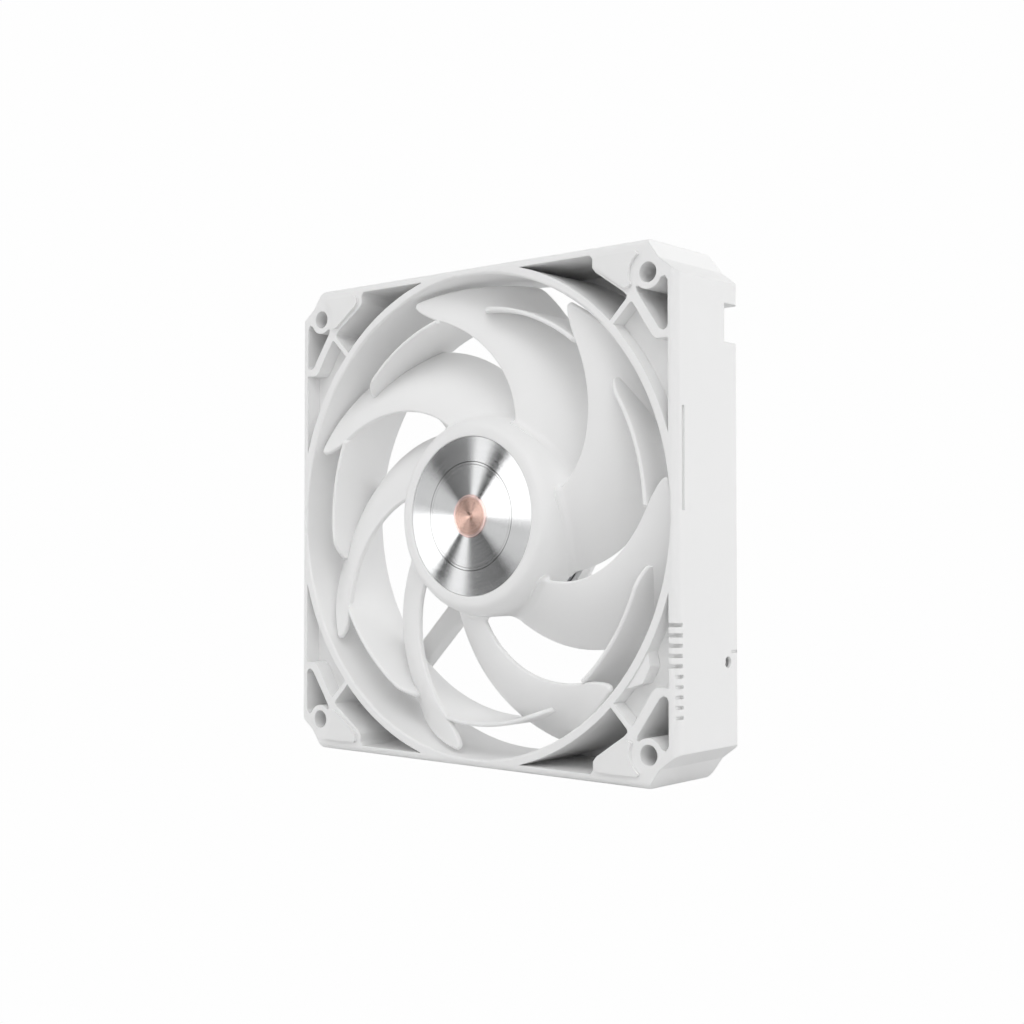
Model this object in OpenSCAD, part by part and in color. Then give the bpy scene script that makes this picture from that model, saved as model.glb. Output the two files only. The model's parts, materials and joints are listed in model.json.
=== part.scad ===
// Case fan, 120 mm square, standing on one edge: the intake face looks along -Y, +Z is up.
// The origin is on the spin axis, half way through the thickness.
// Every module below is drawn lying down (axis along Z, intake face at +Z) and is stood up by face().

/* [Frame] */
// Outside width and height of the frame
frame_w = 120; // [119:0.5:121]
// Thickness of the frame along the spin axis
frame_t = 25; // [25:0.5:26]
// Distance between neighbouring screw holes
hole_pitch = 105; // [104:0.5:106]
// Diameter of each screw hole
hole_d = 4.5; // [4:0.1:5]
// Inside diameter of the air duct
duct_d = 116; // [115.6:0.2:116.4]
// Thickness of the duct wall
duct_wall = 2.2; // [1.8:0.1:2.2]
// Width of each strut that carries the motor
strut_w = 6.4; // [5:0.1:8]

/* [Impeller] */
// Number of blades
blades = 7; // [5:1:7]
// Diameter over the blade tips
tip_d = 114; // [112:0.5:114]
// Outside diameter of the hub
hub_d = 48.8; // [48:0.2:49]
// Mean diameter of the ring that ties the blades together
ring_d = 100; // [96:1:102]
// Wall thickness of that ring
ring_wall = 1.1; // [0.9:0.1:1.4]
// Thickness of a blade at its middle
blade_t = 2.0; // [1.4:0.1:2.2]

/* [Bright parts] */
// Diameter of the turned metal disc on the hub
disc_d = 38.5; // [36:0.5:39]
// Diameter of the copper-coloured button
button_d = 10.4; // [9:0.2:12]

/* [Motor] */
// Diameter of the shaft
shaft_d = 3; // [3:0.1:3.2]
// Outside diameter of the stator poles
stator_d = 38.4; // [37:0.2:38.4]

/* [Hidden] */
zf = frame_t / 2;          // intake face
zr = -frame_t / 2;         // outlet face
hw = frame_w / 2;
hp = hole_pitch / 2;
duct_r = duct_d / 2;
lip_r = duct_r + duct_wall;
hub_r = hub_d / 2;
tip_r = tip_d / 2;
ring_r = ring_d / 2;
step = 360 / blades;
wall_in = hw - 1.9;        // inside of the top and bottom walls
side_in = hw - 2.3;        // inside of the side walls
edge_r = 1.6;              // rounding of the frame's long edges
pad_rise = 0.8;            // the corner pads stand this far proud of the frame
pad_seat = 0.6;            // depth of the seat that each pad sits in
lead_in = 0.6;             // rounding of the duct's front edge
base_r = 24;
cup_end = -2;              // rear end of the hub cup
base_top = -6;             // front edge of the motor base
$fn = 96;

module face() { rotate([90, 0, 0]) children(); }
module in_corners() {
    for (mx = [0, 1]) for (my = [0, 1]) mirror([mx, 0, 0]) mirror([0, my, 0]) children();
}
module tube(ro, ri, z0, z1) {
    translate([0, 0, z0]) difference() {
        cylinder(r = ro, h = z1 - z0);
        translate([0, 0, -1]) cylinder(r = ri, h = z1 - z0 + 2);
    }
}
module disc(r, z0, z1) { translate([0, 0, z0]) cylinder(r = r, h = z1 - z0); }

// ---------- frame ----------
// Flat outline: a square whose corners are cut at 45 degrees with a slight inward kink
module frame_outline() {
    polygon([for (q = [0:3]) for (p = [[hw, hw - 8], [hw - 4.6, hw - 4.6], [hw - 8, hw]])
        let(c = cos(90 * q), s = sin(90 * q)) [c * p[0] - s * p[1], s * p[0] + c * p[1]]]);
}
// Rounded bar section, used to round the long edges of the block
module rounded_bar(w, h, r) {
    square([w - 2 * r, h], center = true);
    square([w, h - 2 * r], center = true);
    for (sx = [-1, 1]) for (sy = [-1, 1]) translate([sx * (w / 2 - r), sy * (h / 2 - r)]) circle(r = r);
}
module frame_block() {
    intersection() {
        translate([0, 0, zr]) linear_extrude(height = frame_t) frame_outline();
        rotate([90, 0, 0]) linear_extrude(height = frame_w + 2, center = true)
            rounded_bar(frame_w, frame_t, edge_r);
        rotate([0, 90, 0]) linear_extrude(height = frame_w + 2, center = true)
            rounded_bar(frame_t, frame_w, edge_r);
    }
}
// Long pocket beside the corner plate, along the top or bottom wall
module long_pocket() {
    difference() {
        polygon([[12, wall_in], [36.6, wall_in], [37.3, 57.2], [37.3, 55.2], [38.2, 54.1],
            [46.0, 48.9], [46.8, 48.0], [46.6, 47.3], [41.9, 42.6], [30, 48]]);
        circle(r = lip_r);
    }
}
// Small three-cornered pocket between the screw boss, the side rib and the side wall
module small_pocket() {
    difference() {
        polygon([[49.3, 49.6], [49.5, 48.6], [55.4, 40.1], [56.4, 39.5], [57.3, 39.8],
            [side_in, 40.6], [side_in, 50.2], [57.0, 51.3], [55.6, 50.9]]);
        translate([hp, hp]) circle(r = 3.6);
    }
}
// Shallow recess between the duct, the side rib and the side wall
module side_recess() {
    difference() {
        polygon([[42.5, 41.4], [47.8, 46.5], [48.4, 46.3], [53.4, 38.7], [54.4, 37.8], [56.6, 37.8],
            [side_in, 37.8], [side_in, 12], [50, 30]]);
        circle(r = lip_r);
    }
}
// Small rounded web that stiffens the duct in the lower side recess
module recess_web() {
    polygon([[50.9, 28.9], [51.7, 29.2], [52.3, 31.1], [52.7, 33.2], [52.1, 34.8], [50.7, 37.2],
        [46.2, 38.7], [45.0, 38.2]]);
}
// Raised pad in the corner: its edge near the hole follows the screw boss
module pad_outline() {
    difference() {
        polygon([[38.6, 55.4], [39.2, 54.6], [46.4, 49.7], [47.2, 49.6], [48.6, 50.4], [50.2, 56.8],
            [49.7, 57.4], [39.3, 57.4], [38.6, 56.8]]);
        translate([hp, hp]) circle(r = 4.8);
    }
}
module screw_hole() {
    translate([hp, hp, zr - 1]) cylinder(d = hole_d, h = frame_t + 2);
}
module screw_boss() { translate([hp, hp, zr]) cylinder(r = 3.7, h = frame_t); }
module strut() {
    translate([22, 0, zr + 1.7]) rotate([90, 0, 90]) linear_extrude(height = 38) rounded_bar(strut_w, 3.4, 1.2);
}
module motor_base() {
    difference() {
        rotate_extrude() polygon([[0, zr], [22.6, zr], [base_r, zr + 3.5], [base_r, base_top], [0, base_top]]);
        disc(22.8, -11, 0);
    }
    disc(7, zr, -5.5);
    for (q = [20, 110, 200, 290]) rotate([0, 0, q]) translate([16.5, 0, zr + 1]) cylinder(r = 1.6, h = 2.7);
}
module lead_path() {
    // The leads run in a channel on the rear of one strut and leave by a notch in the side wall
    rotate([0, 0, 45]) translate([20, -2, zr - 1]) cube([39, 4, 3.2]);
    translate([40, 38.6, zr - 1]) cube([17, 3.6, 3.2]);
    translate([55.2, 38.6, zr - 1]) cube([6, 8.7, 7.1]);
    rotate([0, 0, 45]) translate([20.5, -2, zr + 1]) cube([6, 4, 5]);
}
module side_slots() {
    // Ten short slots in the front edge of one side wall: the first five go right through it
    for (k = [0:4]) translate([side_in - 1, -24.6 - 2.2 * k, zf - 2.1]) cube([5, 0.8, 3]);
    for (k = [5:9]) translate([hw - 0.7, -24.6 - 2.2 * k, zf - 2.3]) cube([2, 0.7, 3.3]);
    translate([hw - 0.6, 0.5, zf - 2.9]) cube([2, 22.6, 0.9]);
    translate([hw - 6, -33.2, zr + 4.9]) rotate([0, 90, 0]) cylinder(r = 1.25, h = 8, $fn = 32);
    translate([hw - 6, -33.2, zr + 4.9]) rotate([0, 90, 0]) cylinder(r = 2.6, h = 5.2, $fn = 32);
    translate([hw - 0.3, -31.2, zr + 1]) cube([2, 0.5, 2.6]);
}
module frame() {
    color("white") difference() {
        union() {
            difference() {
                frame_block();
                disc(duct_r, zr - 1, zf + 1);
                // rounded lead-in at the front of the duct, and a smaller one at the rear
                rotate_extrude() difference() {
                    translate([duct_r - 1, zf - lead_in]) square([1 + lead_in, 2]);
                    translate([duct_r + lead_in, zf - lead_in]) circle(r = lead_in);
                }
                rotate_extrude() polygon([[duct_r - 1, zr - 1], [duct_r + 0.8, zr - 1],
                    [duct_r + 0.8, zr], [duct_r, zr + 0.8], [duct_r - 1, zr + 0.8]]);
                in_corners() {
                    translate([0, 0, zr + 2]) linear_extrude(height = frame_t) long_pocket();
                    translate([0, 0, zr + 7.5]) linear_extrude(height = frame_t) small_pocket();
                    translate([0, 0, zf - 4]) linear_extrude(height = 8) side_recess();
                    translate([0, 0, zr - 1]) linear_extrude(height = frame_t - 5) side_recess();
                    translate([0, 0, zf - pad_seat]) linear_extrude(height = 2) pad_outline();
                    translate([0, 0, zr + pad_seat - 2]) linear_extrude(height = 2) pad_outline();
                }
            }
            in_corners() intersection() {
                screw_boss();
                frame_block();
            }
            translate([0, 0, zf - 5]) linear_extrude(height = 4.7) mirror([0, 1, 0]) recess_web();
            for (q = [0:3]) rotate([0, 0, 45 + 90 * q]) strut();
            motor_base();
        }
        in_corners() screw_hole();
        disc(5.2, -11, 0);
        disc(21.6, zr - 1, zr + 0.2);
        lead_path();
        side_slots();
    }
}

// ---------- corner pads ----------
module front_pad(mx, my) {
    color("whitesmoke") mirror([mx, 0, 0]) mirror([0, my, 0])
        translate([0, 0, zf - pad_seat]) linear_extrude(height = pad_seat + pad_rise) pad_outline();
}
module rear_pad(mx, my) {
    color("whitesmoke") mirror([mx, 0, 0]) mirror([0, my, 0])
        translate([0, 0, zr - pad_rise]) linear_extrude(height = pad_seat + pad_rise) pad_outline();
}

// ---------- impeller ----------
// Angle of the leading edge behind the blade's tip, and of the trailing edge, at a radius
function lead_sweep(r) = -44.7 + 1.2 * (r - 25) + 0.0143 * pow(r - 25, 2);
function lead_deg(r) = r < 51 ? lead_sweep(r) : min(0.6, lead_sweep(51) + 1.4 * (r - 51) * (1 - (r - 51) / 16));
function trail_deg(r) = -90.9 + 2.115 * (r - 25) - 0.0055 * pow(r - 25, 2);
// Depth of both edges below the intake face
function lead_z(r) = zf - 4.6 + 3.2 * pow(max(0, (r - 33) / 24), 1.3);
function trail_z(r) = zf - 16.8 + 3 * pow(max(0, (37 - r) / 14), 2);
// How hollow the blade is along its chord, and its thickness
function hollow(r) = 0.5 + 0.3 * sin(180 * (r - 22) / 35);
function fall(r, t) = t - hollow(r) * t * (1 - t);
function top_z(r, t) = lead_z(r) + (trail_z(r) - lead_z(r)) * fall(r, t);
function thick(r, t) = 0.9 + (blade_t + 0.6 * (57 - r) / 33 - 0.9) * sin(180 * pow(t, 0.7));
function blade_point(r, t, back) = let(a = lead_deg(r) + (trail_deg(r) - lead_deg(r)) * t)
    [r * cos(a), r * sin(a), top_z(r, t) - back * thick(r, t)];
n_r = 9;
n_t = 8;
ring_n = 2 * (n_t + 1);
first_blade = 7.2;         // angle of the first blade tip, counter-clockwise from +X
function blade_r(i) = hub_r - 1.2 + (tip_r - hub_r + 1.2) * i / n_r;
module blade() {
    pts = [for (i = [0:n_r]) for (k = [0:ring_n - 1])
        k <= n_t ? blade_point(blade_r(i), k / n_t, 0) : blade_point(blade_r(i), (ring_n - 1 - k) / n_t, 1)];
    sides = [for (i = [0:n_r - 1]) for (k = [0:ring_n - 1]) for (h = [0, 1])
        let(a = i * ring_n + k, b = i * ring_n + (k + 1) % ring_n, c = a + ring_n, d = b + ring_n)
        h == 0 ? [a, d, b] : [a, c, d]];
    inner = [for (k = [0:n_t - 1]) for (h = [0, 1])
        h == 0 ? [k, k + 1, ring_n - 1 - k] : [ring_n - 1 - k, k + 1, ring_n - 2 - k]];
    o = n_r * ring_n;
    outer = [for (f = inner) [o + f[0], o + f[2], o + f[1]]];
    polyhedron(points = pts, faces = concat(sides, inner, outer));
}
module hub_shell() {
    rotate_extrude() polygon([[0, 11.5], [disc_d / 2 + 0.05, 11.5], [disc_d / 2 + 0.05, 12.3],
        [21.6, 12.3], [22.3, 12.0], [23.2, 11.0], [23.9, 9.6], [24.3, 8.0], [hub_r, 6.2], [hub_r, cup_end],
        [22.6, cup_end], [22.6, 9.6], [6, 9.6], [6, 5.6], [0, 5.6]]);
}
module tie_ring() {
    difference() {
        tube(ring_r + ring_wall / 2, ring_r - ring_wall / 2, zr + 5, zf - 1.9);
        // the ring's front edge dips under the front part of every blade
        for (b = [0:blades - 1]) rotate([0, 0, first_blade + step * b]) {
            rotate([0, 0, -12]) translate([ring_r - 4, -5, zf - 3.4]) cube([8, 11, 4]);
            rotate([0, 0, -18.5]) translate([ring_r - 4, -2.6, zf - 5]) cube([8, 5.2, 4]);
        }
    }
}
module impeller() {
    color("white") {
        difference() {
            hub_shell();
            disc(4, 0, 10.5);
            disc(3, 9, 13);
        }
        tie_ring();
        difference() {
            for (b = [0:blades - 1]) rotate([0, 0, first_blade + step * b]) blade();
            disc(hub_r, -9, cup_end);
        }
    }
}
module hub_disc() {
    color("silver") difference() {
        disc(disc_d / 2, 11.5, 12.15);
        disc(3, 11, 13);
        for (g = [12.5, 13.15]) tube(g + 0.12, g - 0.12, 12.05, 13);
    }
}
module hub_button() {
    color("peru") difference() {
        union() {
            disc(2.95, 10.6, 12.2);
            disc(button_d / 2, 12.15, 12.3);
            disc(button_d / 2 - 0.4, 12.25, 12.45);
        }
        translate([0, 0, 12.9]) sphere(r = 0.9);
    }
}

// ---------- rotor ----------
module shaft_bush() { color("goldenrod") tube(4, shaft_d / 2, 5.6, 10.5); }
module shaft() {
    color("silver") difference() {
        union() {
            disc(shaft_d / 2, -9.9, 10.4);
            rotate_extrude() polygon([[0, -10.3], [shaft_d / 2 - 0.5, -10.2], [shaft_d / 2, -9.9], [0, -9.9]]);
        }
        tube(3, 1.15, -9.75, -9.35);
    }
}
module rotor_yoke() {
    color("gray") {
        tube(22.6, 21.8, -6.2, 9.6);
        tube(22.0, 6.0, 8.8, 9.6);
    }
}
module ring_magnet() { color("dimgray") tube(21.8, 19.8, -5.5, 5.5); }
module retaining_clip() {
    color("silver") difference() {
        tube(2.9, 1.15, -9.75, -9.35);
        translate([0, -0.7, -10.2]) cube([4, 1.4, 1.2]);
    }
}

// ---------- bearing ----------
module bearing_tube() { color("goldenrod") tube(5.2, 4, -11, 4.9); }
module bearing_sleeve() {
    color("darkgoldenrod") tube(4, shaft_d / 2 + 0.03, -9.1, 4.2);
}
module oil_seal() { color("black") tube(4, shaft_d / 2 + 0.08, 4.2, 4.9); }
module thrust_pad() { color("ivory") disc(3.95, -11, -10.5); }

// ---------- stator ----------
core_z0 = -3.6;
core_z1 = 3.0;
// One pole: a straight arm and a curved shoe
module pole_shape(arm_w, r_end, shoe) {
    translate([6, -arm_w / 2]) square([r_end - 7, arm_w]);
    if (shoe) intersection() {
        difference() { circle(r = r_end); circle(r = r_end - 2); }
        polygon([[0, 0], [30, -24], [30, 24]]);
    }
}
module spider(arm_w, r_end, r_hub, shoe) {
    difference() {
        union() {
            circle(r = r_hub);
            for (q = [0:3]) rotate(90 * q) pole_shape(arm_w, r_end, shoe);
        }
        circle(r = 5.2);
    }
}
module stator_core() {
    color("slategray") translate([0, 0, core_z0]) linear_extrude(height = core_z1 - core_z0)
        spider(5, stator_d / 2, 8, true);
}
// Each insulator covers one face of the core and half of the sides of its arms
module insulator() {
    linear_extrude(height = 0.8) spider(6.2, 16, 8.8, false);
    for (q = [0:3]) rotate([0, 0, 90 * q]) {
        translate([15.2, -5.4, 0]) cube([0.8, 10.8, 3]);
        for (s = [-1, 1]) translate([8.8, s * 2.8 - 0.3, -3.3]) cube([7, 0.6, 3.4]);
    }
    tube(8.8, 8.0, 0, 2.4);
}
module front_insulator() { color("ivory") translate([0, 0, core_z1]) insulator(); }
module rear_insulator() {
    color("ivory") translate([0, 0, core_z0]) mirror([0, 0, 1]) difference() {
        insulator();
        disc(7.1, 1.9, 4);
    }
}
module coil(q) {
    color("chocolate") rotate([0, 0, 90 * q]) translate([9, 0, (core_z0 + core_z1) / 2]) rotate([0, 90, 0])
        linear_extrude(height = 6) difference() {
            rounded_bar(12.2, 10, 2.2);
            square([8.2, 6.2], center = true);
        }
}
module winding_pins() {
    color("silver") for (q = [45, 135, 225]) rotate([0, 0, q]) translate([7.9, 0, -9.2]) {
        cylinder(r = 0.35, h = 4.2);
        cylinder(r = 0.8, h = 0.4);
    }
}

// ---------- electronics ----------
board_z = -8.8;
module circuit_board() {
    color("seagreen") difference() {
        tube(20.6, 7.0, board_z, board_z + 1.2);
        for (q = [45, 135, 225]) rotate([0, 0, q]) translate([7.9, 0, -10]) cylinder(r = 0.85, h = 4);
        rotate([0, 0, 45]) translate([18.6, -3, -10]) cube([4, 6, 4]);
    }
}
module driver_chip() {
    color("black") rotate([0, 0, 135]) {
        translate([11, -2.5, board_z + 1.2]) cube([4, 5, 1.3]);
        for (k = [-1.5, -0.5, 0.5, 1.5]) translate([10.2, k - 0.2, board_z + 1.2]) cube([5.6, 0.4, 0.3]);
    }
}
module hall_sensor() {
    color("black") rotate([0, 0, 45]) translate([15.6, -1.6, board_z + 1.2]) cube([1.5, 3.2, 1.6]);
}
module board_capacitor() {
    color("tan") rotate([0, 0, 225]) translate([12, -1.2, board_z + 1.2]) cube([3.2, 2.4, 1.4]);
}
module board_resistors() {
    color("black") for (q = [308, 315, 322]) rotate([0, 0, q]) translate([12.5, -0.6, board_z + 1.2]) cube([2, 1.2, 0.6]);
}
module rear_label() { color("lightgray") disc(21.5, zr, zr + 0.2); }

face() frame();
face() front_pad(1, 0);  // front_pad_top_left
face() front_pad(0, 0);  // front_pad_top_right
face() front_pad(1, 1);  // front_pad_bottom_left
face() front_pad(0, 1);  // front_pad_bottom_right
face() rear_pad(1, 0);  // rear_pad_top_left
face() rear_pad(0, 0);  // rear_pad_top_right
face() rear_pad(1, 1);  // rear_pad_bottom_left
face() rear_pad(0, 1);  // rear_pad_bottom_right
face() impeller();
face() hub_disc();
face() hub_button();
face() shaft_bush();
face() shaft();
face() rotor_yoke();
face() ring_magnet();
face() retaining_clip();
face() bearing_tube();
face() bearing_sleeve();
face() oil_seal();
face() thrust_pad();
face() stator_core();
face() front_insulator();
face() rear_insulator();
face() coil(0);  // coil_1
face() coil(1);  // coil_2
face() coil(2);  // coil_3
face() coil(3);  // coil_4
face() winding_pins();
face() circuit_board();
face() driver_chip();
face() hall_sensor();
face() board_capacitor();
face() board_resistors();
face() rear_label();
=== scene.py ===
# Looks for the case fan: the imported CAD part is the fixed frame, and detailed pieces stand in for
# the mouldings that show. Everything is in metres in the part's own frame: intake face at -Y, +Z up.
# Mouldings are drawn lying down in millimetres (axis Z, intake face at +Z) and stood up by to_frame().
import json
import math

import bmesh
import bpy
import numpy as np
from mathutils import Matrix, Vector

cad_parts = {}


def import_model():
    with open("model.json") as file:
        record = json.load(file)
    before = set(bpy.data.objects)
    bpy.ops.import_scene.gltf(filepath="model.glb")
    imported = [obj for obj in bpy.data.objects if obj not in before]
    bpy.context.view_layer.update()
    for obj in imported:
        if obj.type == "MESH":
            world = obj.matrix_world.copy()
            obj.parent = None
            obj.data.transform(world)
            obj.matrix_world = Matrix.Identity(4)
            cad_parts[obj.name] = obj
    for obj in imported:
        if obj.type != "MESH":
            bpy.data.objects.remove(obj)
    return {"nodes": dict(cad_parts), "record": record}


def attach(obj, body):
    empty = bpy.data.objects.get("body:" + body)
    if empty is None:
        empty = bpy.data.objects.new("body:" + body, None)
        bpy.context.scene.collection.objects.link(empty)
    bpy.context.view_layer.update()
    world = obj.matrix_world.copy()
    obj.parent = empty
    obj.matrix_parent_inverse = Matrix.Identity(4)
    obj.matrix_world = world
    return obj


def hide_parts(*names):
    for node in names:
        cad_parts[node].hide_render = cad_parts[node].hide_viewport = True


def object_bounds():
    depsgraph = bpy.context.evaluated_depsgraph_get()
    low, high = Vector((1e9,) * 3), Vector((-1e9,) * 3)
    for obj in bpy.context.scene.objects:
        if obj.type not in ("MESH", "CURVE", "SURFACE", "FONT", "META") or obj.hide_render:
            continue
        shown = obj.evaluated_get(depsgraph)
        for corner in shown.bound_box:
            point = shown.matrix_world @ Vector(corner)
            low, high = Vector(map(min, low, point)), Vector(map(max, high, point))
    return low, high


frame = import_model()
CAD_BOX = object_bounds()
MM = 0.001
FRONT = 12.5        # intake face, lying down
TAU = 2 * math.pi

# Impeller sizes in millimetres
BLADES = 7
FIRST_BLADE = 7.2   # angle of the first blade tip
TIP_R = 57.0
HUB_R = 24.4
RING_R = 50.0
RING_HALF = 0.55    # half of the ring's wall
RING_DROP = 1.9     # the ring's front edge lies this far behind the intake face
RING_DEPTH = 20.0   # distance from the intake face to the ring's rear edge
DIP_FROM = -5.2     # the front edge dips between these angles behind each blade tip
RISE_FROM = -20.5
DIP_TO = -27.0
DIP_DEPTH = 3.7
ROOT_FILLET = 1.5
ROOT_END_R = 27.5   # the blade roots are cut back behind the cup as far out as this
CUP_END = -2.0      # rear end of the hub cup
BLADE_BODY = 2.0    # thickness of a blade at its middle, at the tip
BODY_GROWTH = 0.5   # how much thicker the middle is at the root
NOSE = 0.8          # radius of the leading edge
TAIL = 0.45         # radius of the trailing edge
EDGE_MEAN = 0.62    # mean of those two
TIP_CORNER = 1.3    # rounding of the blade tip's corners
TIP_EDGE = 0.75     # rounding across the blade tip

# Turned disc, in millimetres
DISC_FACE = 12.15   # height of its front
GROOVE_RADII_AND_PAINTED_SHADE = {12.5: 0.75, 13.15: 0.55}    # radius of each turned groove: painted shade, the brightness that the metal's colour is darkened to inside it
GROOVE_HALF = 0.13
GROOVE_DEPTH = 0.18

# Finishes
EDGE_RADIUS = 0.35 * MM     # how round the frame's corners look
EDGE_SAMPLES = 6
TOOL_MARKS = 16000          # scale of the turned marks
BACKDROP = 0.991            # brightness of the backdrop and of the floor as the camera sees them


def to_frame(p):
    """A point drawn lying down, in millimetres, as a point of the part's frame in metres."""
    return (p[0] * MM, -p[2] * MM, p[1] * MM)


def new_object(name, verts, faces, standing=False):
    """A mesh object in the scene; standing means that the points are already in the part's frame."""
    mesh = bpy.data.meshes.new(name)
    points = verts if standing else [to_frame(p) for p in verts]
    mesh.from_pydata(points, [], faces)
    mesh.update()
    obj = bpy.data.objects.new(name, mesh)
    bpy.context.scene.collection.objects.link(obj)
    return obj


def apply_modifiers(obj):
    """Bakes the modifiers into the mesh."""
    graph = bpy.context.evaluated_depsgraph_get()
    mesh = bpy.data.meshes.new_from_object(obj.evaluated_get(graph))
    obj.modifiers.clear()
    old = obj.data
    obj.data = mesh
    bpy.data.meshes.remove(old)


def combine(obj, others, operation="UNION"):
    """Joins or cuts closed meshes and removes the tools."""
    for other in others:
        mod = obj.modifiers.new("combine", "BOOLEAN")
        mod.operation = operation
        mod.object = other
        mod.solver = "MANIFOLD"
    apply_modifiers(obj)
    for other in others:
        bpy.data.objects.remove(other)


def smooth(obj, degrees):
    """Smooth shading, with edges sharper than the angle kept crisp."""
    mesh = obj.data
    mesh.polygons.foreach_set("use_smooth", [True] * len(mesh.polygons))
    mesh.set_sharp_from_angle(angle=math.radians(degrees))
    mesh.update()


def arc(cx, cy, r, a0, a1, n):
    """Points of an arc in a profile, angles in degrees."""
    return [(cx + r * math.cos(math.radians(a0 + (a1 - a0) * i / n)),
             cy + r * math.sin(math.radians(a0 + (a1 - a0) * i / n))) for i in range(n + 1)]


def lathe(name, profile, steps=192):
    """A closed profile of (radius, z) turned round the axis; points on the axis are shared."""
    verts = []
    rings = []
    for r, z in profile:
        if r < 1e-6:
            rings.append([len(verts)] * steps)
            verts.append((0.0, 0.0, z))
        else:
            rings.append(list(range(len(verts), len(verts) + steps)))
            turns = [TAU * k / steps for k in range(steps)]
            verts += [(r * math.cos(a), r * math.sin(a), z) for a in turns]
    faces = []
    for i in range(len(rings)):
        a, b = rings[i], rings[(i + 1) % len(rings)]
        for k in range(steps):
            n = (k + 1) % steps
            loop = []
            for v in (a[k], a[n], b[n], b[k]):
                if v not in loop:
                    loop.append(v)
            if len(loop) > 2:
                faces.append(loop)
    obj = new_object(name, verts, faces)
    recalc(obj)
    return obj


def recalc(obj):
    """Turns every face outwards."""
    bm = bmesh.new()
    bm.from_mesh(obj.data)
    bmesh.ops.recalc_face_normals(bm, faces=bm.faces)
    bm.to_mesh(obj.data)
    bm.free()


# ---------- impeller ----------
def lead_sweep(r):
    """Angle of the leading edge from the blade's tip at a radius, short of the tip's own curve."""
    return -44.7 + 1.2 * (r - 25) + 0.0143 * (r - 25) ** 2


def lead_deg(r):
    """Angle of the leading edge from the blade's tip, with the turn that it takes near the tip."""
    if r < 51:
        return lead_sweep(r)
    return min(0.6, lead_sweep(51) + 1.4 * (r - 51) * (1 - (r - 51) / 16))


def trail_deg(r):
    """Angle of the trailing edge from the blade's tip."""
    return -90.9 + 2.115 * (r - 25) - 0.0055 * (r - 25) ** 2


def lead_z(r):
    """Height of the leading edge: level near the hub, then rising towards the tip."""
    return FRONT - 4.6 + 3.2 * max(0.0, (r - 33) / 24) ** 1.3


def trail_z(r):
    """Height of the trailing edge: it climbs a little towards the hub."""
    return FRONT - 16.8 + 3 * max(0.0, (37 - r) / 14) ** 2


def camber(r):
    """How strongly the front face bulges towards the intake between its two edges."""
    return 0.5 + 0.3 * math.sin(math.pi * (r - 22) / 35)


def face_z(r, t):
    """Height of the blade's front face at a share of the way from leading to trailing edge."""
    fall = t - camber(r) * t * (1 - t)
    return lead_z(r) + (trail_z(r) - lead_z(r)) * fall


def blade_point(r, t):
    """Point of the front face with its cylinder unrolled: length round the axis, and height."""
    a = math.radians(lead_deg(r) + (trail_deg(r) - lead_deg(r)) * t)
    return np.array([r * a, face_z(r, t)])


def half_body(r, t):
    """Half of the blade's thickness at a radius and a share of the chord, without the root fillet."""
    body = BLADE_BODY + BODY_GROWTH * (TIP_R - r) / (TIP_R - HUB_R + 0.4)
    return NOSE + (TAIL - NOSE) * t + (body / 2 - EDGE_MEAN) * math.sin(math.pi * t ** 0.8)


def quarter_round(size, into):
    """How far a quarter-round edge of this size has drawn back at a distance into it."""
    return size - math.sqrt(max(0.0, size ** 2 - min(into, size) ** 2))


def blade_stations(r, chord, n_nose=6, n_mid=26):
    """Distances along the chord with half the thickness there: round nose, body and round tail."""
    grow = quarter_round(ROOT_FILLET, max(0.0, ROOT_FILLET - (r - HUB_R)))
    set_back = quarter_round(TIP_CORNER, max(0.0, r - (TIP_R - TIP_CORNER)))
    edge = max(0.0, r - (TIP_R - TIP_EDGE)) / TIP_EDGE
    thin = max(math.sqrt(max(0.0, 1 - edge ** 2)), 0.08)
    stations = []
    for i in range(n_nose + 1):
        a = math.pi / 2 * i / n_nose
        along = NOSE - (NOSE + grow) * math.cos(a) + set_back
        stations.append((along, (NOSE + grow) * math.sin(a) * thin))
    for i in range(1, n_mid):
        t = i / n_mid
        along = NOSE + set_back + (chord - NOSE - TAIL - 2 * set_back) * t
        stations.append((along, (half_body(r, t) + grow) * thin))
    for i in range(n_nose + 1):
        a = math.pi / 2 * (1 - i / n_nose)
        along = chord - TAIL + (TAIL + grow) * math.cos(a) - set_back
        stations.append((along, (TAIL + grow) * math.sin(a) * thin))
    return stations


def blade_section(r):
    """Closed loop round the blade at a radius, as (angle, z)."""
    chord = np.linalg.norm(blade_point(r, 1) - blade_point(r, 0))
    front = []
    back = []
    for d, half in blade_stations(r, chord):
        t = d / chord
        share = min(max(t, 0.0), 1.0)
        step = blade_point(r, share + 0.001) - blade_point(r, share - 0.001)
        along = step / np.linalg.norm(step)
        normal = np.array([along[1], -along[0]])
        surface = blade_point(r, share) + along * (t - share) * chord
        mid = surface - normal * half_body(r, share)
        front.append(mid + normal * half)
        back.append(mid - normal * half)
    loop = front + back[-2:0:-1]
    return [(p[0] / r, p[1]) for p in loop]


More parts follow.
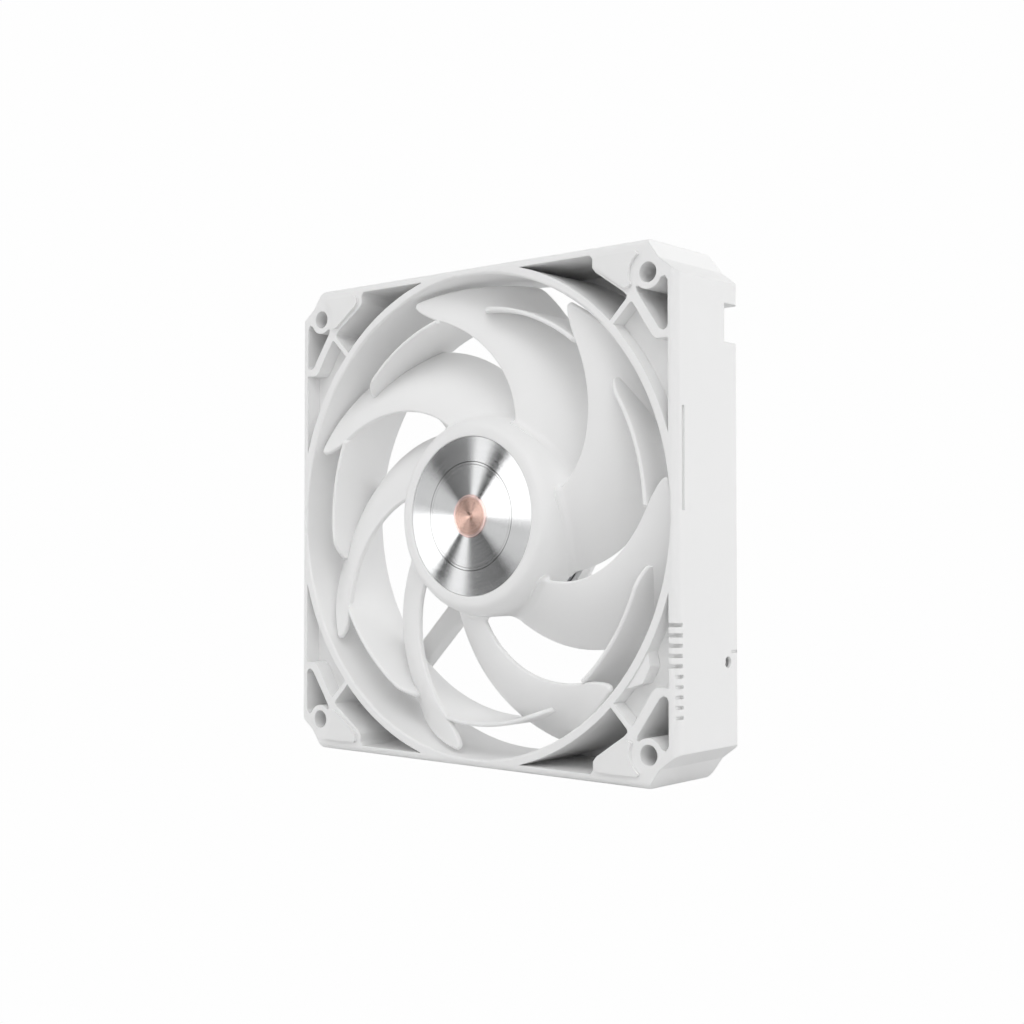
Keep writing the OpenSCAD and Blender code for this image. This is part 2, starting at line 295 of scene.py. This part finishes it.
def blade(number):
    """One blade as a closed shell that starts inside the hub's wall."""
    radii = [HUB_R - 0.9, HUB_R - 0.3]
    radii += [HUB_R + ROOT_FILLET * (i / 6) ** 1.5 for i in range(7)]
    radii += list(np.linspace(HUB_R + ROOT_FILLET, TIP_R - TIP_CORNER, 34)[1:])
    radii += [TIP_R - TIP_CORNER + TIP_CORNER * math.sin(math.pi / 2 * i / 9) for i in range(1, 10)]
    turn = math.radians(FIRST_BLADE + 360 / BLADES * number)
    verts = []
    for r in radii:
        verts += [(r * math.cos(a + turn), r * math.sin(a + turn), z) for a, z in blade_section(r)]
    size = len(verts) // len(radii)
    faces = []
    for i in range(len(radii) - 1):
        for k in range(size):
            a = i * size + k
            b = i * size + (k + 1) % size
            faces.append((a, b, b + size, a + size))
    last = (len(radii) - 1) * size
    half = size // 2
    for base, flip in ((0, True), (last, False)):
        for k in range(half):
            loop = []
            for v in (k, k + 1, (size - k - 1) % size, (size - k) % size):
                if v not in loop:
                    loop.append(v)
            loop = [base + v for v in loop]
            if len(loop) > 2:
                faces.append(loop[::-1] if flip else loop)
    obj = new_object("blade_%d" % number, verts, faces)
    recalc(obj)
    return obj


def ring_front(angle):
    """Front edge of the tie ring: it dips under the front part of each blade."""
    step = 360 / BLADES
    behind = (angle - FIRST_BLADE) % step - step
    top = FRONT - RING_DROP
    if behind < DIP_TO or behind > DIP_FROM:
        return top
    if behind > RISE_FROM:
        t = (behind - lead_deg(RING_R)) / (trail_deg(RING_R) - lead_deg(RING_R))
        under = face_z(RING_R, min(max(t, 0.0), 1.0)) - 0.9
        ease = min(1.0, (DIP_FROM - behind) / 0.8)
        return top + (min(under, top) - top) * ease
    rise = (RISE_FROM - behind) / (RISE_FROM - DIP_TO)
    start = top - DIP_DEPTH
    return start + DIP_DEPTH * math.sin(math.pi / 2 * rise) ** 0.8


def tie_ring():
    """Thin ring that ties the blades together, with a rounded front and rear edge."""
    count = BLADES * 120
    verts = []
    profile = [(-RING_HALF * math.cos(a), RING_HALF * math.sin(a) - RING_HALF)
               for a in [math.pi * i / 8 for i in range(9)]]
    for k in range(count):
        deg = 360 * k / count
        a = math.radians(deg)
        front = ring_front(deg)
        rear = FRONT - RING_DEPTH
        loop = [(RING_R + x, front + z) for x, z in profile]
        loop += [(RING_R + x, rear - z) for x, z in profile[::-1]]
        verts += [(r * math.cos(a), r * math.sin(a), z) for r, z in loop]
    size = len(verts) // count
    faces = []
    for k in range(count):
        n = (k + 1) % count
        for j in range(size):
            m = (j + 1) % size
            faces.append((k * size + j, k * size + m, n * size + m, n * size + j))
    obj = new_object("tie_ring", verts, faces)
    recalc(obj)
    return obj


def hub_shell():
    """Cup of the impeller: recess for the bright disc, white rim, flared side, hollow for the motor."""
    profile = [(3.0, 11.5), (19.3, 11.5), (19.3, 12.15)]
    profile += arc(19.5, 12.15, 0.2, 180, 90, 3)
    profile += [(21.2, 12.32), (21.8, 12.2), (22.35, 11.9), (22.9, 11.35), (23.4, 10.6), (23.8, 9.7)]
    profile += [(24.1, 8.7), (24.3, 7.6), (24.38, 6.6), (HUB_R, 5.6)]
    profile += [(HUB_R, CUP_END + 0.3), (24.1, CUP_END), (22.6, CUP_END)]
    profile += [(22.6, 9.6), (6.0, 9.6), (6.0, 5.6), (4.0, 5.6), (4.0, 10.5), (3.0, 10.5)]
    return lathe("impeller_moulding", profile, 224)


def root_trim():
    """Cutter that clears the blade roots from the space behind the cup."""
    profile = [(0, -9), (ROOT_END_R, -9), (ROOT_END_R, CUP_END - 2.6), (24.1, CUP_END), (0, CUP_END)]
    return lathe("root_trim", profile, 128)


def impeller_moulding():
    """Hub, blades and tie ring as the one moulding that they are."""
    hub = hub_shell()
    combine(hub, [tie_ring()] + [blade(i) for i in range(BLADES)])
    combine(hub, [root_trim()], "DIFFERENCE")
    smooth(hub, 38)
    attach(hub, "rotor")
    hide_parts("impeller")
    hub.data.materials.clear()
    hub.data.materials.append(impeller_plastic())


def turned_disc():
    """Bright disc with two fine turned grooves and a broken edge."""
    profile = [(3.0, 11.5), (19.25, 11.5), (19.25, DISC_FACE - 0.1), (19.15, DISC_FACE)]
    for r in sorted(GROOVE_RADII_AND_PAINTED_SHADE, reverse=True):
        profile.append((r + GROOVE_HALF, DISC_FACE))
        profile.append((r, DISC_FACE - GROOVE_DEPTH))
        profile.append((r - GROOVE_HALF, DISC_FACE))
    profile += [(3.0, DISC_FACE)]
    obj = lathe("hub_disc_turned", profile, 256)
    smooth(obj, 25)
    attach(obj, "rotor")
    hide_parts("hub_disc")
    obj.data.materials.append(turned_metal())


def copper_button():
    """Copper-coloured button with a raised bevelled rim and a small turned centre."""
    profile = [(0.0, 10.6), (2.95, 10.6), (2.95, 12.16), (5.2, 12.16), (5.2, 12.3), (5.12, 12.4),
               (4.95, 12.45), (4.8, 12.43), (4.65, 12.36), (4.5, 12.34), (1.15, 12.34), (1.05, 12.3),
               (0.35, 11.95), (0.2, 11.98), (0.0, 12.04)]
    obj = lathe("hub_button_turned", profile, 128)
    smooth(obj, 30)
    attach(obj, "rotor")
    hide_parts("hub_button")
    obj.data.materials.append(rose_copper())


# ---------- materials ----------
class Graph:
    """A Principled material with its texture nodes in object coordinates."""

    def __init__(self, name):
        self.mat = bpy.data.materials.new(name)
        self.mat.use_nodes = True
        self.nodes = self.mat.node_tree.nodes
        self.links = self.mat.node_tree.links
        self.shader = self.nodes["Principled BSDF"]
        self.coords = self.nodes.new("ShaderNodeTexCoord")

    def node(self, kind, **inputs):
        """A node with the given inputs; an underscore stands for a space."""
        n = self.nodes.new(kind)
        for key, value in inputs.items():
            n.inputs[key.replace("_", " ")].default_value = value
        return n

    def noise(self, scale, detail=3.0, rough=0.5, source=None):
        """Noise in object coordinates, or along another vector."""
        n = self.node("ShaderNodeTexNoise", Scale=scale, Detail=detail, Roughness=rough)
        self.links.new(source or self.coords.outputs["Object"], n.inputs["Vector"])
        return n.outputs["Fac"]

    def spread(self, fac, low, high, start=0.3, end=0.7):
        """Maps a value from start..end to low..high."""
        n = self.nodes.new("ShaderNodeMapRange")
        n.inputs["From Min"].default_value = start
        n.inputs["From Max"].default_value = end
        n.inputs["To Min"].default_value = low
        n.inputs["To Max"].default_value = high
        self.links.new(fac, n.inputs["Value"])
        return n.outputs["Result"]

    def tint(self, fac, first, second):
        """Mixes two colours; each is a tuple or a socket."""
        n = self.nodes.new("ShaderNodeMix")
        n.data_type = "RGBA"
        colours = [socket for socket in n.inputs if socket.type == "RGBA"]
        for socket, value in zip(colours, (first, second)):
            if isinstance(value, tuple):
                socket.default_value = (*value, 1)
            else:
                self.links.new(value, socket)
        self.links.new(fac, n.inputs["Factor"])
        return [o for o in n.outputs if o.type == "RGBA"][0]

    def step(self, operation, first, second=0.0):
        """One arithmetic step inside this material."""
        return math_node(self.nodes, self.links, operation, first, second)

    def paint(self, colour):
        self.links.new(colour, self.shader.inputs["Base Color"])

    def colour(self, fac, first, second):
        self.paint(self.tint(fac, first, second))

    def rough(self, fac, low, high):
        self.links.new(self.spread(fac, low, high), self.shader.inputs["Roughness"])

    def bump(self, height, distance, strength=1.0, edge=0.0):
        """Fine relief; with an edge radius, sharp corners also catch the light as if rounded."""
        n = self.nodes.new("ShaderNodeBump")
        if edge:
            rounding = self.node("ShaderNodeBevel", Radius=edge)
            rounding.samples = EDGE_SAMPLES
            self.links.new(rounding.outputs["Normal"], n.inputs["Normal"])
        n.inputs["Distance"].default_value = distance
        n.inputs["Strength"].default_value = strength
        self.links.new(height, n.inputs["Height"])
        self.links.new(n.outputs["Normal"], self.shader.inputs["Normal"])


def moulded(name, first, second, low, high, grain=2600, depth=0.00001, edge=0.0):
    """Moulded plastic: faint colour drift, fine grain in gloss and surface."""
    g = Graph(name)
    g.colour(g.noise(45, 2), first, second)
    fine = g.noise(grain, 4)
    g.rough(fine, low, high)
    g.bump(fine, depth, 0.5, edge)
    return g.mat


def frame_plastic():
    return moulded("frame_plastic", (0.86, 0.86, 0.86), (0.885, 0.885, 0.882), 0.42, 0.52,
                   edge=EDGE_RADIUS)


def impeller_plastic():
    return moulded("impeller_plastic", (0.87, 0.87, 0.87), (0.89, 0.89, 0.887), 0.36, 0.46)


def pad_rubber():
    return moulded("pad_rubber", (0.84, 0.84, 0.84), (0.87, 0.87, 0.865), 0.5, 0.62,
                   grain=1800, depth=0.00002)


def radius_of(g):
    """Distance from the spin axis and the outward direction, for the parts turned round it."""
    split = g.nodes.new("ShaderNodeSeparateXYZ")
    g.links.new(g.coords.outputs["Object"], split.inputs["Vector"])
    flat = g.nodes.new("ShaderNodeCombineXYZ")
    g.links.new(split.outputs["X"], flat.inputs["X"])
    g.links.new(split.outputs["Z"], flat.inputs["Z"])
    length = g.nodes.new("ShaderNodeVectorMath")
    length.operation = "LENGTH"
    g.links.new(flat.outputs["Vector"], length.inputs[0])
    outward = g.nodes.new("ShaderNodeVectorMath")
    outward.operation = "NORMALIZE"
    g.links.new(flat.outputs["Vector"], outward.inputs[0])
    return length.outputs["Value"], outward.outputs["Vector"]


def turned_surface(g, scale, lean):
    """Fine concentric grooves: the normal leans in and out from one groove to the next."""
    radius, outward = radius_of(g)
    along = g.nodes.new("ShaderNodeCombineXYZ")
    g.links.new(radius, along.inputs["X"])
    marks = g.noise(scale, 2, 0.6, along.outputs["Vector"])
    push = g.nodes.new("ShaderNodeVectorMath")
    push.operation = "SCALE"
    g.links.new(outward, push.inputs[0])
    g.links.new(g.spread(marks, -lean, lean, 0.46, 0.54), push.inputs["Scale"])
    shape = g.nodes.new("ShaderNodeNewGeometry")
    leaning = g.nodes.new("ShaderNodeVectorMath")
    leaning.operation = "ADD"
    g.links.new(shape.outputs["Normal"], leaning.inputs[0])
    g.links.new(push.outputs["Vector"], leaning.inputs[1])
    unit = g.nodes.new("ShaderNodeVectorMath")
    unit.operation = "NORMALIZE"
    g.links.new(leaning.outputs["Vector"], unit.inputs[0])
    g.links.new(unit.outputs["Vector"], g.shader.inputs["Normal"])
    return marks, radius


def turned_metal():
    """Turned aluminium: fine concentric tool marks, highlights that spread across them, painted shade in
    the grooves.
    """
    g = Graph("turned_metal")
    marks, radius = turned_surface(g, TOOL_MARKS, 0.3)
    tone = g.tint(marks, (0.70, 0.705, 0.71), (0.82, 0.825, 0.83))
    # Painted shade: the metal's colour darkens to the given brightness inside each turned groove.
    for groove, shade in GROOVE_RADII_AND_PAINTED_SHADE.items():
        off_line = g.step("ABSOLUTE", g.step("SUBTRACT", radius, groove * MM))
        tone = g.tint(g.spread(off_line, 0.0, 1.0, 0.06 * MM, 0.16 * MM), (shade, shade, shade), tone)
    g.paint(tone)
    g.rough(marks, 0.13, 0.17)
    g.shader.inputs["Metallic"].default_value = 1.0
    g.shader.inputs["Anisotropic"].default_value = 1.0
    g.shader.inputs["Anisotropic Rotation"].default_value = 0.25
    tangent = g.nodes.new("ShaderNodeTangent")
    tangent.direction_type = "RADIAL"
    tangent.axis = "Y"
    g.links.new(tangent.outputs["Tangent"], g.shader.inputs["Tangent"])
    return g.mat


def rose_copper():
    """Copper-coloured button: fine turned marks, and a painted highlight that makes the bevelled rim paler
    and pinker.
    """
    g = Graph("rose_copper")
    marks, radius = turned_surface(g, TOOL_MARKS, 0.2)
    copper = g.tint(marks, (0.62, 0.41, 0.345), (0.74, 0.51, 0.435))
    # Painted highlight: the bevelled rim's colour is paler and pinker than the copper.
    rim = g.spread(radius, 0.0, 1.0, 4.4 * MM, 4.8 * MM)
    g.colour(rim, copper, (0.93, 0.70, 0.66))
    g.rough(marks, 0.22, 0.30)
    g.shader.inputs["Metallic"].default_value = 1.0
    return g.mat


def metal(name, first, second, low, high, scale=1500):
    """Plain metal: faint colour drift, fine grain in gloss and surface."""
    g = Graph(name)
    fine = g.noise(scale, 4, 0.6)
    g.colour(g.noise(120, 3), first, second)
    g.rough(fine, low, high)
    g.bump(fine, 0.000004, 0.5)
    g.shader.inputs["Metallic"].default_value = 1.0
    return g.mat


CAD_LOOKS = {
    "frame_plastic": frame_plastic,
    "pad_rubber": pad_rubber,
    "brass": lambda: metal("brass", (0.62, 0.44, 0.18), (0.72, 0.53, 0.24), 0.25, 0.38),
    "hardened_steel": lambda: metal("hardened_steel", (0.60, 0.61, 0.63), (0.70, 0.71, 0.73), 0.15, 0.25),
    "yoke_steel": lambda: metal("yoke_steel", (0.42, 0.43, 0.45), (0.52, 0.53, 0.55), 0.35, 0.5),
    "magnet": lambda: moulded("magnet", (0.03, 0.03, 0.032), (0.05, 0.05, 0.052), 0.55, 0.7),
    "spring_steel": lambda: metal("spring_steel", (0.45, 0.45, 0.47), (0.55, 0.55, 0.57), 0.3, 0.42),
    "sintered_bronze": lambda: metal("sintered_bronze", (0.34, 0.24, 0.12), (0.44, 0.32, 0.17), 0.4, 0.6),
    "seal_rubber": lambda: moulded("seal_rubber", (0.02, 0.02, 0.02), (0.035, 0.035, 0.035), 0.6, 0.75),
    "natural_nylon": lambda: moulded("natural_nylon", (0.78, 0.73, 0.60), (0.82, 0.78, 0.66), 0.45, 0.55),
    "copper_wire": lambda: metal("copper_wire", (0.50, 0.19, 0.07), (0.62, 0.27, 0.11), 0.28, 0.4),
    "lamination_steel": lambda: metal("lamination_steel", (0.22, 0.23, 0.25), (0.3, 0.31, 0.33), 0.4, 0.55),
    "tinned_steel": lambda: metal("tinned_steel", (0.6, 0.61, 0.62), (0.7, 0.7, 0.72), 0.25, 0.4),
    "board_laminate": lambda: moulded("board_laminate", (0.02, 0.14, 0.06), (0.03, 0.18, 0.08), 0.25, 0.38),
    "chip_black": lambda: moulded("chip_black", (0.018, 0.018, 0.018), (0.03, 0.03, 0.03), 0.45, 0.6),
    "capacitor_ceramic": lambda: moulded("capacitor_ceramic", (0.45, 0.32, 0.18), (0.52, 0.38, 0.22),
                                         0.4, 0.5),
    "label_film": lambda: moulded("label_film", (0.62, 0.63, 0.64), (0.68, 0.69, 0.70), 0.3, 0.42),
}


def dress_cad_nodes():
    """Gives every CAD node that still shows the finish of its material slot."""
    made = {}
    for part in frame["record"]["subparts"]:
        slot = part["material_slot"]
        if slot in CAD_LOOKS:
            if slot not in made:
                made[slot] = CAD_LOOKS[slot]()
            node = frame["nodes"][part["node"]]
            node.data.materials.clear()
            node.data.materials.append(made[slot])


# ---------- studio ----------
def look_matrix(place, direction):
    """Camera matrix at a place, looking along a direction, with +Z up."""
    d = Vector(direction).normalized()
    right = d.cross(Vector((0, 0, 1))).normalized()
    up = right.cross(d)
    m = Matrix((right, up, -d)).transposed().to_4x4()
    m.translation = Vector(place)
    return m


def camera():
    """Camera at the front right, almost level with the hub."""
    cam = bpy.data.cameras.new("camera")
    cam.sensor_width = 36
    cam.lens = 52.13
    cam.clip_start = 0.01
    obj = bpy.data.objects.new("camera", cam)
    bpy.context.scene.collection.objects.link(obj)
    yaw = math.radians(40.49)
    pitch = math.radians(1.38)
    direction = (-math.sin(yaw) * math.cos(pitch), math.cos(yaw) * math.cos(pitch), math.sin(pitch))
    obj.matrix_world = look_matrix((0.2390, -0.2765, -0.0076), direction)
    bpy.context.scene.camera = obj


# Soft panels of the studio: azimuth and elevation in degrees, and brightness above or below the dome
DOME = 0.88
PANELS = {
    "key_front_right": (315, 48, 1.9),
    "front_fill": (270, 48, 0.4),
    "rear_right": (60, 12, 1.1),
    "left_low": (210, 12, 0.4),
    "dark_ceiling": (0, 90, -0.76),
    "dark_right": (0, 48, -0.76),
    "dark_left": (180, 48, -0.76),
    "dark_front": (270, 12, -0.76),
}
PANEL_POWER = 14.0
# Strips of the studio that the turned disc reflects: angle round STREAK_AXIS in degrees, brightness
STREAKS = [(0, 1.6), (44, 1.6), (49, 1.6), (51, 0.0), (58, 0.0), (63, 0.35), (70, 1.15), (82, 1.15),
           (86, 0.75), (90, 0.4), (95, 0.25), (122, 0.18), (131, 0.1), (135, 0.36), (140, 0.55),
           (145, 0.72), (162, 0.75), (168, 0.65), (175, 0.95), (178, 1.6), (180, 1.6)]
STREAK_TOP = 1.6
STREAK_AXIS = (0.671, -0.741, -0.021)


def math_node(nodes, links, operation, first, second=0.0):
    """One arithmetic step; each input is a socket or a number."""
    n = nodes.new("ShaderNodeMath")
    n.operation = operation
    for socket, value in zip(n.inputs, (first, second)):
        if isinstance(value, (int, float)):
            socket.default_value = value
        else:
            links.new(value, socket)
    return n.outputs[0]


def dome_light(nodes, links, coords):
    """Even dome with soft panels: what the matt surfaces are lit by."""
    total = DOME
    for azimuth, elevation, strength in PANELS.values():
        a = math.radians(azimuth)
        e = math.radians(elevation)
        dot = nodes.new("ShaderNodeVectorMath")
        dot.operation = "DOT_PRODUCT"
        dot.inputs[1].default_value = (math.cos(a) * math.cos(e), math.sin(a) * math.cos(e), math.sin(e))
        links.new(coords.outputs["Generated"], dot.inputs[0])
        front = math_node(nodes, links, "MAXIMUM", dot.outputs["Value"])
        soft = math_node(nodes, links, "POWER", front, PANEL_POWER)
        scaled = math_node(nodes, links, "MULTIPLY", soft, strength)
        total = math_node(nodes, links, "ADD", scaled, total)
    total = math_node(nodes, links, "MAXIMUM", total)
    dome = nodes.new("ShaderNodeBackground")
    dome.inputs["Color"].default_value = (1, 1, 1, 1)
    links.new(total, dome.inputs["Strength"])
    return dome


def streak_light(nodes, links, coords):
    """Bright and dark strips, fixed in the studio: what the polished surfaces reflect."""
    half = nodes.new("ShaderNodeVectorMath")
    half.operation = "ADD"
    half.inputs[1].default_value = STREAK_AXIS
    links.new(coords.outputs["Generated"], half.inputs[0])
    split = nodes.new("ShaderNodeSeparateXYZ")
    links.new(half.outputs["Vector"], split.inputs["Vector"])
    angle = math_node(nodes, links, "ARCTAN2", split.outputs["Z"], split.outputs["X"])
    turns = math_node(nodes, links, "DIVIDE", angle, math.pi)
    share = math_node(nodes, links, "FRACT", turns)
    ramp = nodes.new("ShaderNodeValToRGB")
    stops = ramp.color_ramp.elements
    while len(stops) > 1:
        stops.remove(stops[-1])
    for i, (deg, level) in enumerate(STREAKS):
        stop = stops[0] if i == 0 else stops.new(deg / 180)
        stop.position = deg / 180
        stop.color = (level / STREAK_TOP, level / STREAK_TOP, level / STREAK_TOP, 1)
    links.new(share, ramp.inputs["Fac"])
    studio_light = nodes.new("ShaderNodeBackground")
    links.new(ramp.outputs["Color"], studio_light.inputs["Color"])
    studio_light.inputs["Strength"].default_value = STREAK_TOP
    return studio_light


def world():
    """White backdrop for the camera, and a soft studio for the light and the reflections."""
    w = bpy.data.worlds.new("studio")
    bpy.context.scene.world = w
    w.use_nodes = True
    nodes = w.node_tree.nodes
    links = w.node_tree.links
    nodes.clear()
    coords = nodes.new("ShaderNodeTexCoord")
    path = nodes.new("ShaderNodeLightPath")
    seen = nodes.new("ShaderNodeBackground")
    seen.inputs["Color"].default_value = (1, 1, 1, 1)
    seen.inputs["Strength"].default_value = BACKDROP
    lit = nodes.new("ShaderNodeMixShader")
    links.new(path.outputs["Is Glossy Ray"], lit.inputs["Fac"])
    links.new(dome_light(nodes, links, coords).outputs["Background"], lit.inputs[1])
    links.new(streak_light(nodes, links, coords).outputs["Background"], lit.inputs[2])
    mix = nodes.new("ShaderNodeMixShader")
    links.new(path.outputs["Is Camera Ray"], mix.inputs["Fac"])
    links.new(lit.outputs["Shader"], mix.inputs[1])
    links.new(seen.outputs["Background"], mix.inputs[2])
    out = nodes.new("ShaderNodeOutputWorld")
    links.new(mix.outputs["Shader"], out.inputs["Surface"])
    w.cycles.sampling_method = "NONE"


def floor():
    """Pale floor under the fan, as bright as the backdrop, so that the two run together."""
    z = CAD_BOX[0][2] - 0.0002
    obj = new_object("floor", [(-3, -3, z), (3, -3, z), (3, 3, z), (-3, 3, z)], [(0, 1, 2, 3)], True)
    mat = bpy.data.materials.new("floor")
    mat.use_nodes = True
    nodes = mat.node_tree.nodes
    links = mat.node_tree.links
    nodes.clear()
    out = nodes.new("ShaderNodeOutputMaterial")
    mix = nodes.new("ShaderNodeMixShader")
    path = nodes.new("ShaderNodeLightPath")
    pale = nodes.new("ShaderNodeBsdfDiffuse")
    pale.inputs["Color"].default_value = (0.85, 0.85, 0.85, 1)
    glow = nodes.new("ShaderNodeEmission")
    glow.inputs["Color"].default_value = (1, 1, 1, 1)
    glow.inputs["Strength"].default_value = BACKDROP
    links.new(path.outputs["Is Camera Ray"], mix.inputs["Fac"])
    links.new(pale.outputs["BSDF"], mix.inputs[1])
    links.new(glow.outputs["Emission"], mix.inputs[2])
    links.new(mix.outputs["Shader"], out.inputs["Surface"])
    obj.data.materials.append(mat)
    obj.visible_glossy = False


dress_cad_nodes()
impeller_moulding()
turned_disc()
copper_button()
world()
floor()
camera()
bpy.context.scene.view_settings.view_transform = "Standard"
